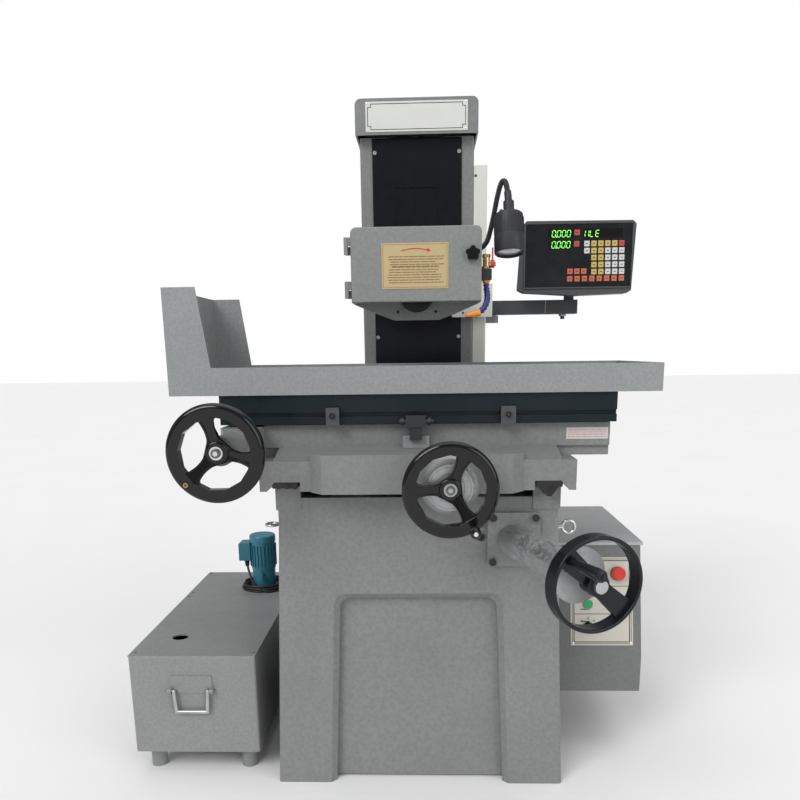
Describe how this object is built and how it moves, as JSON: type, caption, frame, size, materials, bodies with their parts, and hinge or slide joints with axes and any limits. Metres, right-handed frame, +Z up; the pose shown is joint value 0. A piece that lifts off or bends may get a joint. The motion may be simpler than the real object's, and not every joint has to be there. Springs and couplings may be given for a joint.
{
  "type": "surface grinder",
  "caption": "Surface grinder: cast base, saddle on cross ways, sliding table in a splash guard, wheel head on a rear column, readout, electric cabinet and coolant tank.",
  "frame": {"origin": "on the floor, centre of the base's four floor bolts", "axes": "+Z up, +X to the operator's right along the table's travel, +Y away from the operator along the cross travel"},
  "size_m": [1.322, 1.3442, 1.698],
  "materials": {
    "hammer_grey": "grey hammer paint on castings",
    "sheet_grey": "grey hammer paint on sheet steel",
    "table_dark": "dark blue-black paint, ground work surface",
    "black_cover": "smooth black paint",
    "black_wheel": "glossy black moulding",
    "black_matt": "matt black plastic",
    "machined": "turned and ground steel",
    "chrome": "bright plated",
    "bronze": "bronze",
    "off_white": "off-white paint",
    "copper": "varnished copper winding",
    "teal": "teal blue enamel",
    "belt_rubber": "toothless flat belt",
    "cable_black": "black cable sheath",
    "hose_blue": "dark blue segmented hose with orange nozzle",
    "red": "red moulding",
    "green": "green moulding"
  },
  "bodies": {
    "frame": {"base": "hammer_grey", "base_rear_cover": "sheet_grey", "lifting_eyes": "chrome", "column": "hammer_grey", "column_front_cover": "black_cover", "column_cap": "sheet_grey", "socket_screws": "black_matt", "scale_cover": "off_white", "elevating_tube": "hammer_grey", "crossfeed_nut": "bronze", "cabinet_shell": "sheet_grey", "tank_body": "sheet_grey", "tank_lids": "sheet_grey", "pump_body": "teal", "pump_motor": "teal", "pump_cable": "cable_black", "pump_cable_coil": "cable_black"},
    "saddle": {"saddle": "hammer_grey", "drive_housing": "hammer_grey", "drive_belt": "belt_rubber", "feed_housing": "machined", "table_stop": "black_matt"},
    "table": {"table": "table_dark", "splash_guard": "sheet_grey", "table_rack": "machined"},
    "left_dog": {"table_dog_left": "black_matt"},
    "right_dog": {"table_dog_right": "black_matt"},
    "table_wheel": {"table_handwheel": "black_wheel", "table_drive_shaft": "machined"},
    "pinion": {"drive_pinion": "machined"},
    "cross_wheel": {"cross_handwheel": "black_wheel", "cross_screw": "machined"},
    "cross_grip": {"cross_handle": "black_wheel"},
    "elevating_wheel": {"elevating_handwheel": "black_wheel", "elevating_shaft": "machined"},
    "elevating_grip": {"elevating_handle": "black_wheel"},
    "elevating_screw": {"elevating_screw": "machined"},
    "head": {"head_casting": "hammer_grey", "elevating_nut": "bronze", "spindle_stator": "copper", "spindle_bearings": "machined", "slot_curtain": "black_cover", "wheel_guard": "hammer_grey", "scale_bracket": "off_white", "coolant_valve": "bronze", "lamp_gooseneck": "black_matt"},
    "spindle": {"spindle_shaft": "machined", "wheel_flange": "black_cover"},
    "guard_door": {"guard_door": "hammer_grey"},
    "door_knob": {"door_knob": "black_matt"},
    "valve_lever": {"valve_lever": "red"},
    "coolant_hose": {"coolant_hose": "hose_blue"},
    "lamp_head": {"lamp_head": "black_matt"},
    "dro_arm": {"dro_arm": "black_cover"},
    "dro_console": {"dro_console": "black_matt"},
    "emergency_stop": {"emergency_stop": "red"},
    "start_button": {"start_button": "green"},
    "selector_switch": {"selector_switch": "black_matt"},
    "cabinet_door": {"cabinet_door": "sheet_grey"},
    "bail": {"bail_handle": "machined"}
  },
  "joints": [
    {"name": "cross_wheel_turn", "type": "hinge", "parent": "saddle", "child": "cross_wheel", "pos_m": [0.072, -0.569, 0.767], "axis": [0, -1, 0], "range_deg": [-4321, 15481]},
    {"name": "saddle_slide", "type": "slide", "parent": "frame", "child": "saddle", "axis": [0, 1, 0], "range_m": [-0.215, 0.06]},
    {"name": "table_slide", "type": "slide", "parent": "saddle", "child": "table", "axis": [1, 0, 0], "range_m": [-0.15, 0.134]},
    {"name": "table_wheel_turn", "type": "hinge", "parent": "saddle", "child": "table_wheel", "pos_m": [-0.411, -0.601, 0.853], "axis": [0, -1, 0], "range_deg": [-592, 663]},
    {"name": "pinion_turn", "type": "hinge", "parent": "saddle", "child": "pinion", "pos_m": [-0.11, -0.202, 0.8695], "axis": [0, -1, 0], "range_deg": [-296, 332]},
    {"name": "left_dog_slide", "type": "slide", "parent": "table", "child": "left_dog", "axis": [1, 0, 0], "range_m": [-0.235, 0]},
    {"name": "right_dog_slide", "type": "slide", "parent": "table", "child": "right_dog", "axis": [1, 0, 0], "range_m": [0, 0.215]},
    {"name": "cross_handle_spin", "type": "hinge", "parent": "cross_wheel", "child": "cross_grip", "pos_m": [0.12102, -0.6, 0.69152], "axis": [0, -1, 0], "continuous": true},
    {"name": "elevating_wheel_turn", "type": "hinge", "parent": "frame", "child": "elevating_wheel", "pos_m": [0.33346, -0.77309, 0.626], "axis": [0.319, -0.9478, 0], "range_deg": [-14401, 28801]},
    {"name": "head_slide", "type": "slide", "parent": "frame", "child": "head", "axis": [0, 0, 1], "range_m": [-0.1, 0.2]},
    {"name": "elevating_screw_turn", "type": "hinge", "parent": "frame", "child": "elevating_screw", "pos_m": [0, 0.21777, 0.9], "axis": [0, 0, 1], "range_deg": [-7201, 14401]},
    {"name": "elevating_handle_spin", "type": "hinge", "parent": "elevating_wheel", "child": "elevating_grip", "pos_m": [0.29206, -0.82712, 0.67685], "axis": [0.319, -0.9478, 0], "continuous": true},
    {"name": "spindle_turn", "type": "hinge", "parent": "head", "child": "spindle", "pos_m": [0, -0.1, 1.186], "axis": [0, -1, 0], "continuous": true},
    {"name": "guard_door_hinge", "type": "hinge", "parent": "head", "child": "guard_door", "pos_m": [-0.162, -0.291, 1.24], "axis": [0, 0, -1], "range_deg": [0, 110]},
    {"name": "door_knob_turn", "type": "hinge", "parent": "guard_door", "child": "door_knob", "pos_m": [0.13, -0.3, 1.269], "axis": [0, -1, 0], "range_deg": [0, 720]},
    {"name": "valve_lever_turn", "type": "hinge", "parent": "head", "child": "valve_lever", "pos_m": [0.178, -0.262, 1.25], "axis": [1, 0, 0], "range_deg": [0, 90]},
    {"name": "coolant_hose_swivel", "type": "hinge", "parent": "head", "child": "coolant_hose", "pos_m": [0.164, -0.262, 1.2], "axis": [0, 0, 1], "range_deg": [-6, 60]},
    {"name": "lamp_tilt", "type": "hinge", "parent": "head", "child": "lamp_head", "pos_m": [0.219, -0.208, 1.392], "axis": [1, 0, 0], "range_deg": [-25, 16]},
    {"name": "display_arm_swing", "type": "hinge", "parent": "frame", "child": "dro_arm", "pos_m": [0.213, 0.13, 1.171], "axis": [0, 0, 1], "range_deg": [-30, 45]},
    {"name": "display_swivel", "type": "hinge", "parent": "dro_arm", "child": "dro_console", "pos_m": [0.428, 0.13, 1.2], "axis": [0, 0, 1], "range_deg": [-45, 45]},
    {"name": "emergency_stop_press", "type": "slide", "parent": "frame", "child": "emergency_stop", "axis": [0, 0.9726, -0.2324], "range_m": [0, 0.004], "stiffness_N_per_m": 3000, "springref_m": -0.002},
    {"name": "start_button_press", "type": "slide", "parent": "frame", "child": "start_button", "axis": [0, 0.9726, -0.2324], "range_m": [0, 0.003], "stiffness_N_per_m": 1500, "springref_m": -0.002},
    {"name": "selector_turn", "type": "hinge", "parent": "frame", "child": "selector_switch", "pos_m": [0.445, -0.23136, 0.34], "axis": [0, -0.9726, 0.2324], "range_deg": [-45, 45]},
    {"name": "cabinet_door_hinge", "type": "hinge", "parent": "frame", "child": "cabinet_door", "pos_m": [0.589, 0.284, 0.36], "axis": [0, 0, 1], "range_deg": [0, 110]},
    {"name": "bail_swing", "type": "hinge", "parent": "frame", "child": "bail", "pos_m": [-0.571, -0.4, 0.232], "axis": [-1, 0, 0], "range_deg": [0, 110]}
  ],
  "couplings": [
    {"joint": "cross_wheel_turn", "follows": "saddle_slide", "rad_per_m": -1256.6},
    {"joint": "table_wheel_turn", "follows": "table_slide", "rad_per_m": -76.923},
    {"joint": "pinion_turn", "follows": "table_slide", "rad_per_m": -38.462},
    {"joint": "elevating_wheel_turn", "follows": "head_slide", "rad_per_m": 2513.3},
    {"joint": "elevating_screw_turn", "follows": "head_slide", "rad_per_m": 1256.6}
  ]
}
